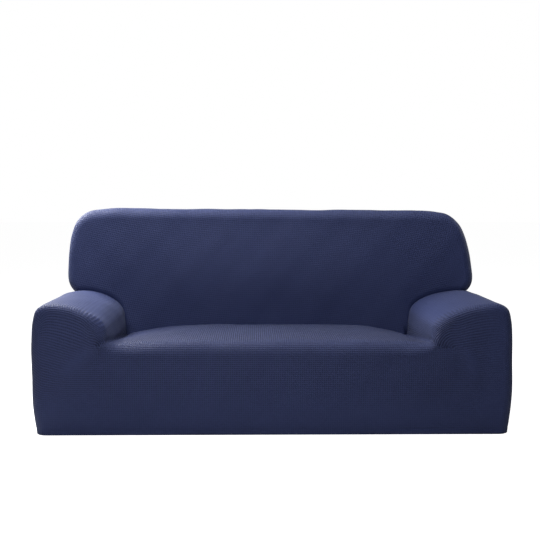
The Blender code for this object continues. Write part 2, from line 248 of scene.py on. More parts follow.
def patch_between(bottom, top, left, right):
    """Straight lines from bottom to top, bent to meet the left and right edges near them."""
    t = share_along(left)[:, None, None]
    patch = (1 - t) * bottom[None] + t * top[None]
    s = np.linspace(0.0, 1.0, len(bottom))[None, :, None]
    left_gap = (left - patch[:, 0])[:, None] * (1 - smooth_step(s / SIDE_REACH))
    right_gap = (right - patch[:, -1])[:, None] * smooth_step((s - 1) / SIDE_REACH + 1)
    return patch + left_gap + right_gap


def hem_line(left_x, right_x, above):
    """Points along the hem under an upper edge, spread as the cloth above is."""
    step = np.abs(np.diff(above, axis=0))
    length = np.concatenate([[0.0], np.cumsum(step[:, 0] + STEEP_SHARE * step[:, 1])])
    return np.stack([left_x + (right_x - left_x) * length / length[-1], np.zeros(len(length))], axis=1)


def swelling(t, sideways):
    """1 in the middle of a face and 0 at its edges: (4t(1-t))^1.5 (1-s^2)^1.5."""
    return (4 * t * (1 - t)) ** 1.5 * np.clip(1 - sideways**2, 0.0, 1.0) ** 1.5


def rounded_edge(section, radius, y, turn, cells):
    """Quarter round from the section moved in by the radius, on a face at y, out to the section itself."""
    angle = np.linspace(0.0, 0.5 * math.pi, cells + 1)[:, None]
    inset = section - outward(section) * (radius * (1 - np.sin(angle)))[..., None]
    return plan(inset, y + turn * radius * (1 - np.cos(angle)))


def back_section():
    """The section where seat and arms meet the backrest, following its rounded edge towards the rear."""
    curve = shifted(body_curve(5, 6), SHIFT_BACK)
    y = back_face_y(curve[:, 1])
    angle = np.linspace(0.0, 0.5 * math.pi, BACK_EDGE_CELLS + 1)
    reach = BODY_SECTION[SIDE_ROWS][5] - BACK_EDGE * (1 - np.cos(angle))
    for sign, index in ((-1, side + np.arange(len(angle))), (1, side + across - np.arange(len(angle)))):
        curve[index, 0] = sign * reach
        y[index] = back_face_y(curve[index, 1]) + BACK_EDGE * (1 - np.sin(angle))
    y[:side] = y[side]
    y[side + across + 1 :] = y[side + across]
    return plan(curve, y)


back = back_section()
print("backrest section:", back.shape[0], "points")

# %% [markdown]
# ## The front, the seat and the arms
#
# The front is a flat face between the hem and the rim of a rounded edge. The edge leads to the seat and the arms,
# and these run back to the foot of the backrest. The seat is crowned between front and back, as a cushion is.

# %% Front, seat and arms
front = shifted(body_curve(1, 2), SHIFT_FRONT)
rim = shifted(body_curve(3, 4), SHIFT_FRONT)
edge_depth = body_curve(1, 2, 7)[:, 2]
turn = np.linspace(0.0, 0.5 * math.pi, FRONT_EDGE_CELLS + 1)[:, None]
front_edge = plan(rim + (front - rim) * np.sin(turn)[..., None], FRONT_Y + edge_depth * (1 - np.cos(turn)))

left, right = rim[: side + 1], rim[side + across :][::-1]
top = rim[side : side + across + 1]
hem = hem_line(left[0, 0], right[0, 0], top)
front_face = patch_between(hem, top, left, right)
t = share_along(left)[:, None]
front_face = plan(front_face, FRONT_Y - FRONT_PUFF * swelling(t, front_face[..., 0] / left[1, 0]))

share = np.linspace(0.0, 1.0, DEPTH_CELLS + 1)[:, None, None]
seat = front_edge[-1] * (1 - share) + back * share
halfway = np.sin(math.pi * share[:, :, 0])
seat_crown = SEAT_CROWN * up_to(seat[..., 2], *SEAT_TO) * up_to(np.abs(seat[..., 0]), SEAT_HALF, CROWN_EASE)
high = from_on(seat[..., 2], *ARM_FROM)
seat[..., 2] += halfway * (seat_crown + high * np.where(seat[..., 0] < 0, *ARM_CROWNS))

print("front:", front_face.shape[:2], "seat and arms:", seat.shape[:2])

# %% [markdown]
# ## The knit's own coordinates
#
# The rows and columns of a knit travel with the cloth, so every patch gets U and V, counted in hollows of the
# waffle. Between the arms they lie straight. On an arm the pull of the dart turns them: the rows slope up and
# outwards, they meet the level rows below along a diagonal, and above the dart they run round its outer end in
# arcs. Along the dart itself the count jumps, as it does at any sewn dart.

# %% Rows and columns of the front
ROW, COLUMN = 0.0083, 0.0091  # height of a row and width of a column where the cloth lies straight
ARM_ROW = 0.0106  # height of a row on the arms, where the cloth is stretched
FAN_RADIUS = 0.11  # how far above the dart's end the fanned columns are COLUMN apart
ARM_DARTS = (
    # side, x and z of the dart's outer end, slope of the rows in degrees, rows and columns up to the shoulder
    (-1, 0.740, 0.378, 17.0, 53, 107),
    (1, 0.757, 0.369, 8.0, 56, 107),
)
CROWN_FROM, CROWN_SHARE = (0.745, 0.045), 0.28  # where the uppermost rows follow the arm's crown
SOFT_BASE, SOFT_GROWTH, SOFT_REACH = 0.15, 6.0, 0.12  # how gently rows bend, more so away from the dart


def lower_of(one, other, softness):
    """The smaller of two values, rounded where they meet: min - s log(1 + exp(-|difference| / s))."""
    return np.minimum(one, other) - softness * np.log1p(np.exp(-np.abs(one - other) / softness))


def dart_frame(spots, dart):
    """Spots as seen from the dart's end: outwards, upwards, distance, along the sloping rows, and across them."""
    side, x, z, slope = dart[:4]
    out, up = side * spots[..., 0] - x, spots[..., 1] - z
    cosine, sine = math.cos(math.radians(slope)), math.sin(math.radians(slope))
    return out, up, np.hypot(out, up), out * cosine + up * sine, up * cosine - out * sine


def rows_at(spots, dart, fanned):
    """V = z / ROW below and V = across / ARM_ROW on the arm, the lower of the two; arcs round the dart's end."""
    distance, along_rows, across_rows = dart_frame(spots, dart)[2:]
    start = dart[2] / ROW
    if fanned:
        return start + np.where(along_rows < 0, distance, across_rows) / ARM_ROW
    softness = SOFT_BASE + SOFT_GROWTH * np.minimum(distance, SOFT_REACH)
    return lower_of(spots[..., 1] / ROW, start + across_rows / ARM_ROW, softness)


def columns_at(spots, dart, fanned):
    """U = x / COLUMN between the darts, wider beyond them, and by the angle round the dart's end above it."""
    x, count = dart[1], dart[5]
    out, up = dart_frame(spots, dart)[:2]
    beyond = (count - x / COLUMN) / (ARM_EDGE - x)
    counted = x / COLUMN + np.where(out < 0, out / COLUMN, out * beyond)
    if fanned:
        fan = np.clip(np.arctan2(-out, up), 0.0, None) * FAN_RADIUS / COLUMN
        counted = np.where(out < 0, x / COLUMN - fan, counted)
    return dart[0] * counted


def knit_at(spots, dart, fanned, share_up):
    """U and V of the front. Near the crown V leans to the rows' number at the shoulder, so rows follow the crown."""
    v = rows_at(spots, dart, fanned)
    top_v = rows_at(spots[-1:], dart, fanned)
    on_crown = from_on(np.abs(spots[-1:, :, 0]), *CROWN_FROM)
    near_top = smooth_step((share_up - 1 + CROWN_SHARE) / CROWN_SHARE)
    v = v + near_top * on_crown * (dart[4] - top_v)
    return np.stack([columns_at(spots, dart, fanned), v], axis=-1)


ARM_EDGE = top[-1, 0]
spots = front_face[..., [0, 2]]
plain_uv, arm_uv = (
    np.where(spots[..., :1] < 0, *(knit_at(spots, dart, fanned, t) for dart in ARM_DARTS)) for fanned in (False, True)
)
crease_spots = [top[to_crease], top[across - to_crease]]
centre = (spots[1:, 1:] + spots[:-1, :-1]) / 2
above_dart = np.zeros(centre.shape[:2], dtype=bool)
for (side_sign, x, z, *_), crease in zip(ARM_DARTS, crease_spots):
    cut = np.interp(side_sign * centre[..., 0], [side_sign * crease[0], x], [crease[1], z])
    above_dart |= (side_sign * centre[..., 0] > side_sign * crease[0]) & (centre[..., 1] > cut)
print("rows at the left edge, the middle and the right edge:", plain_uv[-1, [0, across // 2, -1], 1].round(1))

# %% [markdown]
# ## Keeping the patches
#
# Over the front edge and the tops U stays that of the column, and V goes on with the length of cloth walked. Down
# the outer sides it is the other way round, and the slope that the rows have on the front levels out. Whole counts
# fall on the shoulder, where rows meet columns. The cloth over the seat and over each arm is kept apart, because
# the pattern breaks in the crease between them.

# %% Keep the patches
SEAT_AND_ARMS, BACKREST, REAR = 0, 1, 2
STRAIGHTEN = 0.30  # length of cloth over which the arms' rows fall back into straight lines
LEVEL_OUT = 0.05  # the same for the sloping rows round the outer sides
ARM_HALF = 0.70  # half width from which the cloth belongs to an arm
edge_step = np.linalg.norm(front_face[:, [2, -3]] - front_face[:, [0, -1]], axis=-1)
edge_drop = (plain_uv[:, [0, -1], 1] - plain_uv[:, [2, -3], 1]) / edge_step * LEVEL_OUT
skin_patches = []


def keep(name, points, uv, panel, flip=False, other_uv=None, use_other=None):
    """Notes a patch of the skin: points, U and V, panel, whether its rows run the other way, and a second U and V
    for the cells that are marked."""
    skin_patches.append((name, points, uv, panel, flip, other_uv, use_other))


def over_top(patch, length, first, last):
    """U and V of a patch over the top: U stays, V grows with the length and falls back to the crown's number."""
    own = slice(first, last + 1)
    uv = arm_uv if abs(top[(first + last) // 2, 0]) > ARM_HALF else plain_uv
    target = np.where(top[own, 0] < 0, ARM_DARTS[0][4], ARM_DARTS[1][4]) if uv is arm_uv else uv[-1, own, 1]
    walked = length[:, side + first : side + last + 1]
    v = uv[-1, own, 1] + (target - uv[-1, own, 1]) * smooth_step(walked * COLUMN / STRAIGHTEN) + walked
    return patch[:, side + first : side + last + 1], np.stack([np.broadcast_to(uv[-1, own, 0], v.shape), v], axis=-1)


def wrapped(name, patch, length_before):
    """Keeps a patch behind the front: its left and right side, and over the top both arms and the seat."""
    length = (along(patch) + length_before) / COLUMN
    for label, own, edge, way in ((" left", slice(0, side + 1), 0, -1), (" right", slice(-side - 1, None), -1, 1)):
        u = plain_uv[:, edge, 0][:: -way] + way * length[:, own]
        v = (plain_uv[:, edge, 1] + edge_drop[:, edge])[:: -way]
        v = v - edge_drop[:, edge][:: -way] * np.exp(-length[:, own] * COLUMN / LEVEL_OUT)
        keep(name + label, patch[:, own], np.stack([u, v], axis=-1), SEAT_AND_ARMS)
    if patch.shape[1] == len(front):
        stops = (0, to_crease, across - to_crease, across)
        for label, first, last in zip((" left arm", " seat", " right arm"), stops[:-1], stops[1:]):
            keep(name + label, *over_top(patch, length, first, last), SEAT_AND_ARMS)
    return length[-1] * COLUMN


keep("front face", front_face, plain_uv, SEAT_AND_ARMS, other_uv=arm_uv, use_other=above_dart)
length = wrapped("front edge", front_edge, 0.0)
length = wrapped("seat and arms", seat, length)
print("patches of the front panel:", len(skin_patches))

# %% [markdown]
# ## The backrest and the rear
#
# The backrest's face meets the seat along the section that was made above. A rounded edge leads from the face to
# the flank, and the flank runs back to the rear. U and V are simply X and Z, and over an edge they go on with the
# length of cloth, in the direction in which the edge faces. On the backrest the upper corners pull the cloth
# outwards, so its columns spread towards the top and its rows hang a little in the middle.

# %% Backrest, flank and rear
BACK_ROW, BACK_COLUMN = 0.0106, 0.0102  # height of a row and width of a column of the backrest
BACK_SPREAD, BACK_HANG = 0.35, 0.14  # how much its columns spread upwards, and its rows hang
BACK_MIDDLE, BACK_RANGE = 0.63, (-0.4, 0.35)  # height where nothing is spread, and how far from it the spread grows


def square_up(points, backwards):
    """Draws the waist between arm and backrest out to a plain corner on the way to the rear."""
    near_seam = bell(points[..., 2] - BACK_OUTLINE[0][2], GROOVE_REACH)
    gap = np.maximum(SIDE_PLAIN - np.abs(points[..., 0]), 0.0)
    points[..., 0] += np.sign(points[..., 0]) * gap * near_seam * GROOVE_FADE * smooth_step(backwards)
    return points


def laid_out(first, facing, length):
    """Flat X and Z of the cloth on and round an edge: the first row's, plus the length in the edge's direction."""
    return first[..., [0, 2]] + facing * length[..., None]


def back_uv(flat):
    """U = x / (1 + spread (z - middle)) and V = z - hang x^2, both in hollows."""
    x, z = flat[..., 0], flat[..., 1]
    spread = 1 + BACK_SPREAD * np.clip(z - BACK_MIDDLE, *BACK_RANGE)
    return np.stack([x / spread / BACK_COLUMN, (z - BACK_HANG * x**2) / BACK_ROW], axis=-1)


outline = table_curve(BACK_OUTLINE, (1, 2), BACK_SIDE_ROWS, BACK_FINE, TOP_FINE)
high = from_on(outline[:, 1], SKEW_FROM, SKEW_EASE)
outline[:, 1] -= TOP_DROP * high * (outline[:, 0] + 1) / 2
outline[:, 0] -= TOP_SHIFT * high
ring = np.concatenate([back[:side][:, [0, 2]], outline, back[-side:][:, [0, 2]]])
facing = outward(ring)
upper = slice(side, len(ring) - side)

back_edge = rounded_edge(ring, BACK_EDGE, 0.0, 1, BACK_EDGE_CELLS)[:, upper]
back_edge[..., 1] += back_face_y(back_edge[..., 2])
back_edge[:, 0] = back[side : side + BACK_EDGE_CELLS + 1][::-1]
back_edge[:, -1] = back[side + across - BACK_EDGE_CELLS : side + across + 1]

edge_rim = back_edge[0]
foot = back[side + BACK_EDGE_CELLS : side + across - BACK_EDGE_CELLS + 1]
left, right = edge_rim[: back_side + 1], edge_rim[-back_side - 1 :][::-1]
back_face = patch_between(foot, edge_rim[back_side : len(edge_rim) - back_side], left, right)
back_face[..., 1] = back_face_y(back_face[..., 2])
back_face[0] = foot
border_x = np.where(back_face[..., 0] < 0, left[:, None, 0], right[:, None, 0])
back_face[..., 1] -= BACK_PUFF * swelling(share_along(left)[:, None], back_face[..., 0] / border_x)
keep("backrest face", back_face, back_uv(back_face[..., [0, 2]]), BACKREST)
edge_walk = along(back_edge)
keep("backrest edge", back_edge, back_uv(laid_out(edge_rim, facing[upper], edge_walk)), BACKREST)

flank_start = np.concatenate([back[:side], back_edge[-1], back[-side:]])
backwards = np.linspace(0.0, 1.0, FLANK_CELLS + 1)[:, None]
flank = flank_start * (1 - backwards[..., None]) + plan(ring, REAR_Y - REAR_EDGE) * backwards[..., None]
flank = square_up(flank, backwards)

ring_end = flank[-1][:, [0, 2]]
rear_edge = rounded_edge(ring_end, REAR_EDGE, REAR_Y, -1, REAR_EDGE_CELLS)
seam_row = 2 * REAR_EDGE_CELLS // 3
corner = rear_edge[seam_row:][::-1]

length = wrapped("flank", flank, np.concatenate([length[:side], np.zeros(len(outline)), length[-side:]]))
wrapped("rear corner", corner, length)
flank_walk = edge_walk[-1] + along(flank)[:, upper]
keep("flank", flank[:, upper], back_uv(laid_out(edge_rim, facing[upper], flank_walk)), BACKREST)
corner_walk = flank_walk[-1] + along(corner)[:, upper]
keep("backrest rear corner", corner[:, upper], back_uv(laid_out(edge_rim, facing[upper], corner_walk)), BACKREST)

rear_rim = rear_edge[: seam_row + 1]
rear_uv = laid_out(rear_rim[0], outward(ring_end), along(rear_rim)) / BACK_COLUMN
keep("rear edge", rear_rim, rear_uv, REAR, flip=True)
tall = side + back_side
left, right = rear_rim[0, : tall + 1], rear_rim[0, -tall - 1 :][::-1]
rear_top = rear_rim[0, tall : len(ring) - tall]
rear_hem = plan(hem_line(left[0, 0], right[0, 0], rear_top[:, [0, 2]]), REAR_Y)
rear_face = patch_between(rear_hem, rear_top, left, right)
keep("rear face", rear_face, rear_face[..., [0, 2]] / BACK_COLUMN, REAR, flip=True)
print("patches:", ", ".join(patch[0] for patch in skin_patches))

# %% [markdown]
# ## Joining the skin
#
# Every patch is a plain grid, so its faces are index arithmetic. Points that two patches share are found by
# rounding them to a hundredth of a millimetre and keeping one of each. Only the hem may stay open.

# %% Join the patches
PER_METRE = 1e5  # steps to which points are rounded before they are compared


def grid_quads(rows, columns, flip):
    """Corner numbers of every cell of a grid: r * columns + c for its four corners, turned round if flipped."""
    first = (np.arange(rows - 1)[:, None] * columns + np.arange(columns - 1)).ravel()
    quads = np.stack([first, first + 1, first + columns + 1, first + columns], axis=1)
    return quads[:, ::-1] if flip else quads


def open_edges(quads):
    """Directed edges with no neighbour: those whose reverse is in no face. Also the face and corner of each."""
    start, end = quads, np.roll(quads, -1, axis=1)
    size = int(quads.max()) + 1
    alone = ~np.isin(end * size + start, start * size + end)
    face, corner = np.nonzero(alone)
    return start[alone], end[alone], face, corner


points, quads, uvs, panels, count = [], [], [], [], 0
for _, patch, uv, panel, flip, other_uv, use_other in skin_patches:
    cells = grid_quads(*patch.shape[:2], flip)
    points.append(patch.reshape(-1, 3))
    quads.append(cells + count)
    cell_uv = uv.reshape(-1, 2)[cells]
    if other_uv is not None:
        cell_uv = np.where(use_other.reshape(-1, 1, 1), other_uv.reshape(-1, 2)[cells], cell_uv)
    uvs.append(cell_uv)
    panels.append(np.full(len(cells), panel))
    count += patch[..., 0].size
points, quads, uvs, panels = (np.concatenate(part) for part in (points, quads, uvs, panels))
steps = np.round(points * PER_METRE).astype(np.int64)
keepers, number = np.unique(steps, axis=0, return_index=True, return_inverse=True)[1:]
points, quads = points[keepers], number.reshape(-1)[quads]
whole_cells = (quads != np.roll(quads, 1, axis=1)).all(axis=1)
quads, uvs, panels = quads[whole_cells], uvs[whole_cells], panels[whole_cells]
open_at = open_edges(quads)[0]
print("joined:", len(points), "points,", len(quads), "faces, highest open edge at", points[open_at, 2].max())

# %% [markdown]
# ## What the stretched cloth does
#
# A tight cover still isn't a perfect form. The elastic draws the hem in, each seam sits in a small furrow, the two
# darts at the inner ends of the arms pull the cloth into puckers, and soft ridges of tension run down from them.
# Each is a bump or a furrow with a bell-shaped profile, exp(-(distance / width)^2), laid along a short line.

# %% Normals and distances
SLICES = 400  # parts in which many distances are worked out


def cell_normals(points, quads):
    """Normal of each cell times twice its area: the cross product of its diagonals."""
    return np.cross(points[quads[:, 2]] - points[quads[:, 0]], points[quads[:, 3]] - points[quads[:, 1]])


def point_normals(points, quads):
    """Unit normal at each point: the sum of its cells' normals."""
    normal = np.zeros_like(points)
    for corner_points in quads.T:
        np.add.at(normal, corner_points, cell_normals(points, quads))
    return normal / np.linalg.norm(normal, axis=1, keepdims=True)


def from_line(spots, line):
    """Distance of each (x, z) spot from a line of such points, and how far along it the nearest one lies, 0 to 1."""
    line = np.asarray(line, dtype=float)
    walked = share_along(line)
    best = np.full(len(spots), np.inf)
    place = np.zeros(len(spots))
    for i in range(len(line) - 1):
        stretch = line[i + 1] - line[i]
        v = np.clip((spots - line[i]) @ stretch / (stretch @ stretch), 0.0, 1.0)
        distance = np.linalg.norm(spots - line[i] - v[:, None] * stretch, axis=1)
        nearer = distance < best
        best[nearer] = distance[nearer]
        place[nearer] = (walked[i] + v * (walked[i + 1] - walked[i]))[nearer]
    return best, place


def nearest(points, others):
    """Distance from each point to the nearest of some others, worked out in slices to save memory."""
    parts = np.array_split(points, SLICES)
    return np.concatenate([np.linalg.norm(part[:, None] - others[None], axis=2).min(axis=1) for part in parts])


# %% Furrows, puckers and tension
DARTS = (
    # x, z along the dart from the arm's inner end outwards and down
    ((0.672, 0.392), (0.692, 0.384), (0.715, 0.378), (0.738, 0.372), (0.762, 0.366)),
    ((-0.700, 0.398), (-0.712, 0.394), (-0.725, 0.387), (-0.742, 0.377)),
)
DART_DEPTH, DART_WIDTH = 0.0045, 0.0065  # furrow along each dart
DART_END = (1.0, 0.4)  # where along the dart it ends, and over what share it runs out
PUCKER, PUCKER_REACH = 0.0016, 0.016  # height of the puckers, and how far from the dart they die away
PUCKER_PITCH, PUCKER_SLANT = 0.014, 0.6
TENSION = (
    # height, width, then x, z along the soft ridge
    (0.0060, 0.030, ((-0.742, 0.385), (-0.785, 0.342), (-0.832, 0.298), (-0.880, 0.256), (-0.930, 0.212))),
    (0.0050, 0.024, ((0.775, 0.362), (0.806, 0.347), (0.830, 0.318), (0.840, 0.271), (0.846, 0.207))),
    (-0.0030, 0.024, ((-0.700, 0.350), (-0.742, 0.300), (-0.775, 0.240), (-0.790, 0.180))),
    (-0.0025, 0.022, ((0.740, 0.330), (0.775, 0.290), (0.790, 0.230), (0.795, 0.170))),
    (0.0020, 0.018, ((-0.660, 0.352), (-0.560, 0.346), (-0.430, 0.350))),
    (0.0020, 0.018, ((0.640, 0.352), (0.540, 0.347), (0.400, 0.351))),
)
TENSION_START, TENSION_END = (0.0, 0.25), (1.0, 0.5)  # the same for where a ridge sets in and where it ends
PALE_FROM = 0.0040  # ridges as high as this are stretched so much that their hollows pull flat
SEAM_DEPTH, SEAM_WIDTH = 0.0016, 0.0055  # furrow along each seam
TUCK_DEPTH, TUCK_WIDTH = 0.0060, 0.0090  # how the cloth is tucked in between the seat and each arm
HEM_BAND, HEM_LINE, HEM_LINE_WIDTH = 0.024, 0.0011, 0.004  # height of the folded hem, and the line along its top
HEM_STILL = 0.01  # height below which the hem stays level
FRONT_TO = (0.10, 0.05)  # how far behind the front its forms end, and the length over which they fade
WAVES = (
    # height of the wave, waves per metre in X and Z + Y, shift: the unevenness of foam under the cloth
    (0.0011, 1.7, 1.1, 0.3),
    (0.0009, -2.6, 2.3, 1.9),
    (0.0006, 4.3, 3.1, 4.0),
    (0.0004, -6.1, 5.2, 2.2),
)

reach = np.maximum(0.0, 1.0 - points[:, 2] / HEM_REACH) ** 2
inward = from_on(np.abs(points[:, 1]), HEM_FROM, HEM_EASE)
points[:, 1] -= np.sign(points[:, 1]) * HEM_TUCK * inward * reach

normal = point_normals(points, quads)
x, y, z = points.T
spots = points[:, [0, 2]]
on_front = up_to(y - FRONT_Y, *FRONT_TO)
rise, ridge = np.zeros((2, len(points)))
for line in DARTS:
    distance, place = from_line(spots, line)
    fade = on_front * up_to(place, *DART_END)
    rise -= DART_DEPTH * fade * bell(distance, DART_WIDTH)
    pucker = np.sin(math.tau * (x + PUCKER_SLANT * z) / PUCKER_PITCH)
    rise += PUCKER * fade * pucker * bell(distance, PUCKER_REACH)
for height, width, line in TENSION:
    distance, place = from_line(spots, line)
    fade = on_front * from_on(place, *TENSION_START) * up_to(place, *TENSION_END)
    swell = fade * bell(distance, width)
    rise += height * swell
    if height >= PALE_FROM:
        ridge = np.maximum(ridge, swell)
for height, per_x, per_zy, shift in WAVES:
    rise += height * np.sin(math.tau * (per_x * x + per_zy * (z + y)) + shift)


def panels_at(panel):
    """1 at each point of a panel and 0 elsewhere."""
    return np.isin(np.arange(len(points)), quads[panels == panel]).astype(int)


on_seam = panels_at(SEAT_AND_ARMS) + panels_at(BACKREST) + panels_at(REAR) > 1
seam_distance = nearest(points, points[on_seam])
rise -= SEAM_DEPTH * bell(seam_distance, SEAM_WIDTH)
creases = np.concatenate([seat[:, side + to_crease], seat[:, -1 - side - to_crease]])
rise -= TUCK_DEPTH * bell(nearest(points, creases), TUCK_WIDTH)
rise -= HEM_LINE * bell(z - HEM_BAND, HEM_LINE_WIDTH)
rise *= smooth_step(z / HEM_STILL)
points = points + normal * rise[:, None]
normal = point_normals(points, quads)
print("seam points:", int(on_seam.sum()), "rise from", rise.min().round(4), "to", rise.max().round(4))

# %% [markdown]
# ## Where the knit changes
#
# At the inner ends of the arms' fronts the cloth is gathered, and its rows stand up as cords. Over the seat's top
# and the arms' rolled edges its columns stand out as ribs, and where it is pulled tight its hollows grow shallow.
# All three are painted on the points as attributes that the material reads. Each zone has a place in metres where
# it starts or ends, and a length over which it fades.

# %% Zones of the knit
BUNCHES = (
    # strength, width, then x, z along the arc where the rows are gathered
    (1.0, 0.050, ((0.690, 0.400), (0.712, 0.440), (0.748, 0.478), (0.800, 0.500))),
    (0.70, 0.060, ((-0.730, 0.400), (-0.750, 0.440), (-0.800, 0.490), (-0.900, 0.510), (-0.950, 0.490))),
)
ARM_CORDS, SEAT_CORDS = 0.55, 0.20  # how far the fronts of the arms and of the seat go from waffle to cords
SEAT_RIBS = 0.85  # how far the top of the seat goes from waffle to ribs along the columns
ARM_RIBS = (0.70, 0.50)  # the same over the rolled front edges of the left arm's top and the right one's
ROLL_RELIEF = 0.40  # share of the relief on those edges
FRONTS_TO = (0.075, 0.06)  # how far back the fronts reach
TOPS_BACK, TOPS_UP = (0.02, 0.06), (0.36, 0.03)  # how far back and how high up the tops begin
ROLL_BACK, ROLL_UP = (0.002, 0.014), (0.45, 0.03)  # the same for the arms' rolled edges
ARM_FRONT_FROM, ARM_TOP_FROM, ARM_TO = (0.70, 0.08), (0.66, 0.03), (1.0, 0.03)  # half widths of the arms
SEAT_TOP_TO, SEAT_FRONT_TO, WALL_TO = (0.70, 0.06), (0.78, 0.08), (0.80, 0.06)  # and of the seat and the arms' walls
ARM_CORDS_UP, SEAT_CORDS_UP = (0.0, 0.25), (0.26, 0.09)  # heights from which the fronts show cords
HEM_TO, RIGHT_END = (0.26, 0.22), (0.84, 0.10)  # height to which the hem pulls, and x where the right end starts

# %% Paint the zones
half_width, behind, up = np.abs(points[:, 0]), points[:, 1] - FRONT_Y, points[:, 2]
front_panel = panels_at(SEAT_AND_ARMS)
near_edge = up_to(behind, *FRONTS_TO)
arm_front = near_edge * from_on(half_width, *ARM_FRONT_FROM) * from_on(up, *ARM_CORDS_UP)
bunch = np.maximum(ARM_CORDS * arm_front, SEAT_CORDS * near_edge * from_on(up, *SEAT_CORDS_UP))
for strength, width, line in BUNCHES:
    distance, _ = from_line(spots, line)
    bunch = np.maximum(bunch, strength * near_edge * bell(distance, width))

on_top = front_panel * from_on(behind, *TOPS_BACK) * from_on(up, *TOPS_UP)
arm_top = on_top * from_on(half_width, *ARM_TOP_FROM) * up_to(half_width, *ARM_TO)
rolled = front_panel * from_on(behind, *ROLL_BACK) * up_to(behind, *FRONT_TO) * from_on(up, *ROLL_UP)
rolled = rolled * up_to(half_width, *ARM_TO) * np.where(points[:, 0] < 0, *ARM_RIBS)
ribs = np.maximum(SEAT_RIBS * on_top * up_to(half_width, *SEAT_TOP_TO), rolled)
bunch *= 1 - rolled

# The relief scales the bump, and also the painted shade in the hollows.
relief = np.ones(len(points))
for zone, left_over in (
    # where the cloth is pulled tight, and the share of the relief that is left there
    (arm_top, 0.35),
    (arm_top * up_to(half_width, *WALL_TO), 0.40),
    (arm_front, 0.68),
    (near_edge * up_to(half_width, *SEAT_FRONT_TO), 0.85),
    (ridge, 0.45),
    (up_to(up, *HEM_TO), 0.35),
    (from_on(points[:, 0], *RIGHT_END), 0.55),
    (panels_at(BACKREST), 0.50),
    (panels_at(REAR), 0.60),
):
    relief *= 1 - (1 - left_over) * zone
relief += rolled * (ROLL_RELIEF - relief)
print("strongest cords:", bunch.max().round(2), "least relief:", relief.min().round(2))

# %% [markdown]
# ## The knit as a material
#
# A waffle knit has raised lines both ways round small square hollows. If U and V count hollows, the lines are
# where cos(pi U) or cos(pi V) is 1 or -1, and the hollows lie between them. The pattern, its fine stitches and its
# fuzz are one node group, which another cloth could take with its own values. It puts out a height and a mask of
# the hollows. The material makes relief from the height, and from the mask a painted shade that darkens the hollows.

# %% Values of the knit
# The hollows' colour is a painted shade: darker navy that stands for the shade falling into the knit's hollows.
NAVY_LIGHT, NAVY_HOLLOW_SHADE = (0.029, 0.0405, 0.119), (0.008, 0.0107, 0.037)  # the raised lines and the hollows
KNIT_DEPTH = 0.0018  # height of a raised line
KNIT_INPUTS = (("Gather", 0.0), ("Ribs", 0.0), ("Relief", 1.0), ("Crispness", 2.5), ("Stitches", 4.0), ("Fuzz", 0.12))
CORD_HEIGHT, LOOP_HEIGHT = 1.5, 0.10  # of cords and ribs, and of single stitches, against a raised line
FUZZ_NOISE, BROAD_NOISE, YARN_NOISE = (900.0, 2.0), (5.0, 3.0), (140.0, 2.0)  # scale and detail of each
BROAD_SHARE, MOTTLE_SHARE, MOTTLE_START, LINE_TONE = 0.5, 0.5, -0.375, 0.95  # how the noises shift the tone
ROUGHNESS, HOLLOW_ROUGHER = 0.62, 0.12  # of the raised lines, and how much more in the hollows
KNIT_SHINE = (
    ("Specular IOR Level", 0.23),
    ("Sheen Weight", 0.065),
    ("Sheen Roughness", 0.45),
    ("Sheen Tint", (0.80, 0.85, 1.0, 1.0)),
)


# %% Node helpers
def wire(tree, value, socket):
    """Links an output to a socket, or sets the socket if the value is a number."""
    if isinstance(value, bpy.types.NodeSocket):
        tree.links.new(value, socket)
    else:
        socket.default_value = value


def maths(tree, operation, *values, clamp=False):
    """One Math node on numbers or outputs. Returns its output."""
    node = tree.nodes.new("ShaderNodeMath")
    node.operation = operation
    node.use_clamp = clamp
    for value, socket in zip(values, node.inputs):
        wire(tree, value, socket)
    return node.outputs[0]


def blended(tree, share, low, high):
    """One colour Mix node: low where share is 0, high where it is 1."""
    node = tree.nodes.new("ShaderNodeMix")
    node.data_type = "RGBA"
    wire(tree, share, node.inputs["Factor"])
    node.inputs[6].default_value = (*low, 1.0)
    node.inputs[7].default_value = (*high, 1.0)
    return node.outputs[2]


def noise(tree, vector, scale, detail):
    """One Noise Texture node on a vector. Returns its value."""
    node = tree.nodes.new("ShaderNodeTexNoise")
    tree.links.new(vector, node.inputs["Vector"])
    node.inputs["Scale"].default_value = scale
    node.inputs["Detail"].default_value = detail
    return node.outputs[0]


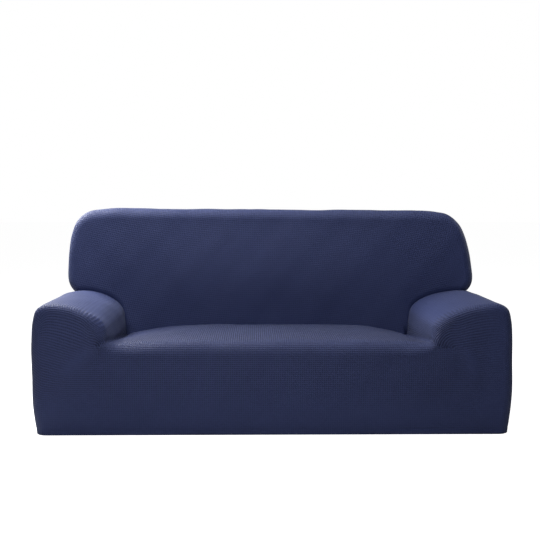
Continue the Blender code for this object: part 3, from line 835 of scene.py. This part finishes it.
# %% The waffle group
def waffle_group():
    """Height = 1 - (1 - |cos(pi U)|^n)(1 - |cos(pi V)|^n). Where the knit is gathered it turns to cords along U,
    c |cos(pi V)|^n, and where it is stretched over an edge to ribs along V, c |cos(pi U)|^n."""
    tree = bpy.data.node_groups.new("waffle knit", "ShaderNodeTree")
    for name in ("Count", "Place"):
        tree.interface.new_socket(name, in_out="INPUT", socket_type="NodeSocketVector")
    for name, value in KNIT_INPUTS:
        socket = tree.interface.new_socket(name, in_out="INPUT", socket_type="NodeSocketFloat")
        socket.default_value = value
    for name in ("Height", "Hollow"):
        tree.interface.new_socket(name, in_out="OUTPUT", socket_type="NodeSocketFloat")
    entry = tree.nodes.new("NodeGroupInput").outputs
    leave = tree.nodes.new("NodeGroupOutput").inputs
    parts = tree.nodes.new("ShaderNodeSeparateXYZ")
    tree.links.new(entry["Count"], parts.inputs[0])
    lines, loops = [], []
    for count in parts.outputs[:2]:
        wave = maths(tree, "COSINE", maths(tree, "MULTIPLY", count, math.pi))
        lines.append(maths(tree, "POWER", maths(tree, "ABSOLUTE", wave), entry["Crispness"]))
        stitches = maths(tree, "MULTIPLY", count, entry["Stitches"])
        loops.append(maths(tree, "SINE", maths(tree, "MULTIPLY", stitches, math.tau)))
    gaps = [maths(tree, "SUBTRACT", 1.0, line) for line in lines]
    height = maths(tree, "SUBTRACT", 1.0, maths(tree, "MULTIPLY", *gaps))
    for label, line in (("Gather", lines[1]), ("Ribs", lines[0])):
        cords = maths(tree, "MULTIPLY", line, CORD_HEIGHT)
        change = maths(tree, "MULTIPLY", entry[label], maths(tree, "SUBTRACT", cords, height))
        height = maths(tree, "ADD", height, change)
    # The mask of the hollows, which the material turns into a painted shade in the colour.
    hollow = maths(tree, "SUBTRACT", 1.0, height, clamp=True)
    tree.links.new(maths(tree, "MULTIPLY", hollow, entry["Relief"]), leave["Hollow"])
    loops = maths(tree, "MULTIPLY", maths(tree, "MULTIPLY", *loops), LOOP_HEIGHT)
    fuzz = maths(tree, "MULTIPLY", noise(tree, entry["Place"], *FUZZ_NOISE), entry["Fuzz"])
    full = maths(tree, "ADD", maths(tree, "ADD", height, loops), fuzz)
    tree.links.new(maths(tree, "MULTIPLY", full, entry["Relief"]), leave["Height"])
    return tree


# %% The knit's material
def knit_material(name, group):
    """Dull navy knit in its own navy on the raised lines, with painted shade darkening the hollows, mottled as
    yarn-dyed cloth is.
    """
    material = bpy.data.materials.new(name)
    material.use_nodes = True
    tree = material.node_tree
    shader = tree.nodes["Principled BSDF"]
    count = tree.nodes.new("ShaderNodeUVMap")
    count.uv_map = "knit"
    place = tree.nodes.new("ShaderNodeTexCoord").outputs["Object"]
    waffle = tree.nodes.new("ShaderNodeGroup")
    waffle.node_tree = group
    tree.links.new(count.outputs[0], waffle.inputs["Count"])
    tree.links.new(place, waffle.inputs["Place"])
    for label in ("gather", "ribs", "relief"):
        painted = tree.nodes.new("ShaderNodeAttribute")
        painted.attribute_name = label
        tree.links.new(painted.outputs["Fac"], waffle.inputs[label.capitalize()])
    broad, yarn = noise(tree, place, *BROAD_NOISE), noise(tree, place, *YARN_NOISE)
    mottle = maths(tree, "MULTIPLY_ADD", broad, BROAD_SHARE, yarn)
    mottle = maths(tree, "MULTIPLY_ADD", mottle, MOTTLE_SHARE, MOTTLE_START)
    # The tone is the random mottle less the hollows' mask, so the hollows take the painted shade.
    lift = maths(tree, "SUBTRACT", maths(tree, "ADD", LINE_TONE, mottle), waffle.outputs["Hollow"], clamp=True)
    tree.links.new(blended(tree, lift, NAVY_HOLLOW_SHADE, NAVY_LIGHT), shader.inputs["Base Color"])
    rough = maths(tree, "MULTIPLY_ADD", waffle.outputs["Hollow"], HOLLOW_ROUGHER, ROUGHNESS)
    tree.links.new(rough, shader.inputs["Roughness"])
    bump = tree.nodes.new("ShaderNodeBump")
    bump.inputs["Strength"].default_value = 1.0
    bump.inputs["Distance"].default_value = KNIT_DEPTH
    tree.links.new(waffle.outputs["Height"], bump.inputs["Height"])
    tree.links.new(bump.outputs[0], shader.inputs["Normal"])
    for label, value in KNIT_SHINE:
        shader.inputs[label].default_value = value
    return material


group = waffle_group()
print("waffle group nodes:", len(group.nodes))

# %% [markdown]
# ## Cutting the panels
#
# Each panel takes its own cells of the skin. The inner side is the same grid moved in by the thickness of the
# cloth, along normals that the whole skin shares, and strips close the two along the seams and the hem. Points on
# a seam move a fifth of a millimetre into their own panel, because two pieces of cloth never share a surface.

# %% Cut a panel
ON_FLOOR = 1e-5  # height under which a point belongs to the hem
TINY = 1e-12  # keeps a length of nothing from dividing by zero
SHARP = math.radians(60)  # angle from which an edge looks sharp


def seam_pull(outer, cells, start, end, hem):
    """Unit vectors along the cloth and into the panel at its border: towards its cells, square to the border."""
    into = np.zeros_like(outer)
    tangent = np.zeros_like(outer)
    middle_of_cell = outer[cells].mean(axis=1)
    for corner_points in cells.T:
        np.add.at(into, corner_points, middle_of_cell - outer[corner_points])
    for tip in (start, end):
        np.add.at(tangent, tip, outer[end] - outer[start])
    tangent /= np.maximum(np.linalg.norm(tangent, axis=1, keepdims=True), TINY)
    into -= tangent * (into * tangent).sum(axis=1, keepdims=True)
    into[hem, 2] = 0.0
    return into / np.maximum(np.linalg.norm(into, axis=1, keepdims=True), TINY)


def put_in_scene(name, data):
    """A new object with this data, linked into the scene."""
    thing = bpy.data.objects.new(name, data)
    bpy.context.collection.objects.link(thing)
    return thing


def cut_panel(name, panel, material):
    """One panel as a closed sheet: outer cells, the same cells moved in by CLOTH, and strips between them."""
    own = panels == panel
    used, cells = np.unique(quads[own], return_inverse=True)
    cells = cells.reshape(-1, 4)
    cell_uv = uvs[own]
    start, end, face, corner = open_edges(cells)
    outer = points[used]
    hem_points = outer[:, 2] < ON_FLOOR
    pull = seam_pull(outer, cells, start, end, hem_points) * on_seam[used][:, None] * SEAM_GAP / 2
    inner = outer - CLOTH * normal[used] + pull
    outer = outer + pull
    inner[hem_points, 2] = 0.0
    size = len(used)
    rims = np.stack([end, start, start + size, end + size], axis=1)
    rim_uv = np.stack([cell_uv[face, (corner + 1) % 4], cell_uv[face, corner]], axis=1)
    rim_uv = np.concatenate([rim_uv, rim_uv[:, ::-1]], axis=1)
    all_cells = np.concatenate([cells, cells[:, ::-1] + size, rims])
    all_uv = np.concatenate([cell_uv, cell_uv[:, ::-1], rim_uv]).astype(np.float32)

    mesh = bpy.data.meshes.new(name)
    mesh.from_pydata(np.concatenate([outer, inner]), [], all_cells)
    mesh.validate()
    mesh.uv_layers.new(name="knit").data.foreach_set("uv", all_uv.ravel())
    for label, values in (("gather", bunch), ("ribs", ribs), ("relief", relief)):
        painted = mesh.attributes.new(label, "FLOAT", "POINT")
        painted.data.foreach_set("value", np.tile(values[used], 2).astype(np.float32))
    mesh.shade_smooth()
    mesh.set_sharp_from_angle(angle=SHARP)
    mesh.materials.append(material)
    area = np.linalg.norm(cell_normals(outer, cells), axis=1).sum() / 2
    print(f"{name}: {2 * len(all_cells)} triangles, {area:.2f} square metres of cloth")
    return put_in_scene(name, mesh)


# %% The three panels
navy_knit = knit_material("navy waffle knit", group)
seat_and_arms_cover = cut_panel("seat_and_arms_cover", SEAT_AND_ARMS, navy_knit)
backrest_cover = cut_panel("backrest_cover", BACKREST, navy_knit)
rear_cover = cut_panel("rear_cover", REAR, navy_knit)

# %% [markdown]
# ## What each piece stands for
#
# Each piece hides the solid of model.glb that it stands for and moves with the root. The table also gives the flat
# size and area of the cloth before it was stretched, which nothing here reads: a stretch cover is cut about a sixth
# smaller than the sofa in area.

for piece, node, flat, area in (
    (seat_and_arms_cover, "seat_and_arms_panel", (2.30, 1.75), 2.65),
    (backrest_cover, "backrest_panel", (2.20, 0.68), 1.27),
    (rear_cover, "rear_panel", (1.85, 0.86), 1.55),
):
    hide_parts(node)
    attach(piece, "root")

# %% [markdown]
# ## Floor, light and camera
#
# A pale floor and a white surround keep the colours true. To the camera both are white, but as light they are
# weak, because a dark cloth shows its form only where the lamps model it. A broad lamp overhead does most of it.
# Two smaller ones, over the left arm and behind it, make the tops shine, and their light falls off to the right.
# Two weaker lamps in front and one far out on the right soften the shadows.

# %% Floor and surround
FLOOR_SIZE, FLOOR_DROP = 60.0, 0.0005  # width of the floor, and how far below the hem it lies
FLOOR_LOOK = (
    ("Base Color", (0.50, 0.50, 0.51, 1.0)),
    ("Roughness", 0.9),
    ("Emission Color", (1.0, 1.0, 1.0, 1.0)),
)
FLOOR_GLOW = 0.96  # what the floor adds to its own shade, for the camera only
SURROUND_LIGHT = 0.055  # light from all round, far less than the white that the camera sees


def strength_to(tree, camera, others, socket):
    """Strength = others + seen (camera - others), where seen is 1 on the camera's rays and 0 on all others."""
    seen = tree.nodes.new("ShaderNodeLightPath").outputs["Is Camera Ray"]
    wire(tree, maths(tree, "MULTIPLY_ADD", seen, camera - others, others), socket)


floor_mesh = bpy.data.meshes.new("floor")
half = FLOOR_SIZE / 2
floor_corners = [(x * half, y * half, -FLOOR_DROP) for x, y in ((-1, -1), (1, -1), (1, 1), (-1, 1))]
floor_mesh.from_pydata(floor_corners, [], [(0, 1, 2, 3)])
floor = put_in_scene("floor", floor_mesh)
pale = bpy.data.materials.new("pale floor")
pale.use_nodes = True
pale_shader = pale.node_tree.nodes["Principled BSDF"]
for label, value in FLOOR_LOOK:
    pale_shader.inputs[label].default_value = value
strength_to(pale.node_tree, FLOOR_GLOW, 0.0, pale_shader.inputs["Emission Strength"])
floor_mesh.materials.append(pale)

world = bpy.data.worlds.new("white surround")
world.use_nodes = True
background = world.node_tree.nodes["Background"]
background.inputs["Color"].default_value = (1.0, 1.0, 1.0, 1.0)
strength_to(world.node_tree, 1.0, SURROUND_LIGHT, background.inputs["Strength"])
bpy.context.scene.world = world
print("floor:", floor.name, "surround:", world.name)

# %% Lamps
LAMPS = (
    # name, place, aim, size, watts
    ("overhead light", (0.0, -0.2, 3.2), (0.0, 0.0, 0.5), 2.5, 66.0),
    ("arm light", (-1.3, 0.1, 1.9), (-0.9, 0.0, 0.5), 0.7, 20.0),
    ("rim light", (-1.9, 0.9, 1.9), (-0.7, 0.0, 0.5), 0.8, 66.0),
    ("upper front light", (-0.8, -2.0, 2.8), (-0.1, 0.0, 0.5), 2.0, 8.0),
    ("front light", (-0.3, -1.9, 1.55), (-0.1, 0.0, 0.5), 1.6, 17.0),
    ("side light", (2.8, 1.2, 1.5), (0.9, 0.1, 0.4), 1.2, 15.0),
)


def soft_light(name, place, aim, size, watts):
    """A square area light at a place, turned by the tilt and heading of the line to its aim."""
    lamp = bpy.data.lights.new(name, "AREA")
    lamp.shape = "SQUARE"
    lamp.size = size
    lamp.energy = watts
    holder = put_in_scene(name, lamp)
    holder.location = place
    right, ahead, up = np.subtract(aim, place)
    tilt = math.pi / 2 + math.atan2(up, math.hypot(right, ahead))
    holder.rotation_euler = (tilt, 0.0, math.atan2(ahead, right) - math.pi / 2)


for lamp in LAMPS:
    soft_light(*lamp)

# %% Camera
CAMERA_PLACE = (-0.045, -3.4954, 0.985)
CAMERA_DOWN, CAMERA_TURN = 5.35, -0.0105  # degrees below level, and radians to the right
lens = bpy.data.cameras.new("camera")
lens.lens = 50.0
lens.sensor_width = 36.0
camera = put_in_scene("camera", lens)
camera.location = CAMERA_PLACE
camera.rotation_euler = (math.radians(90.0 - CAMERA_DOWN), 0.0, CAMERA_TURN)
bpy.context.scene.camera = camera
bpy.context.scene.view_settings.view_transform = "Standard"
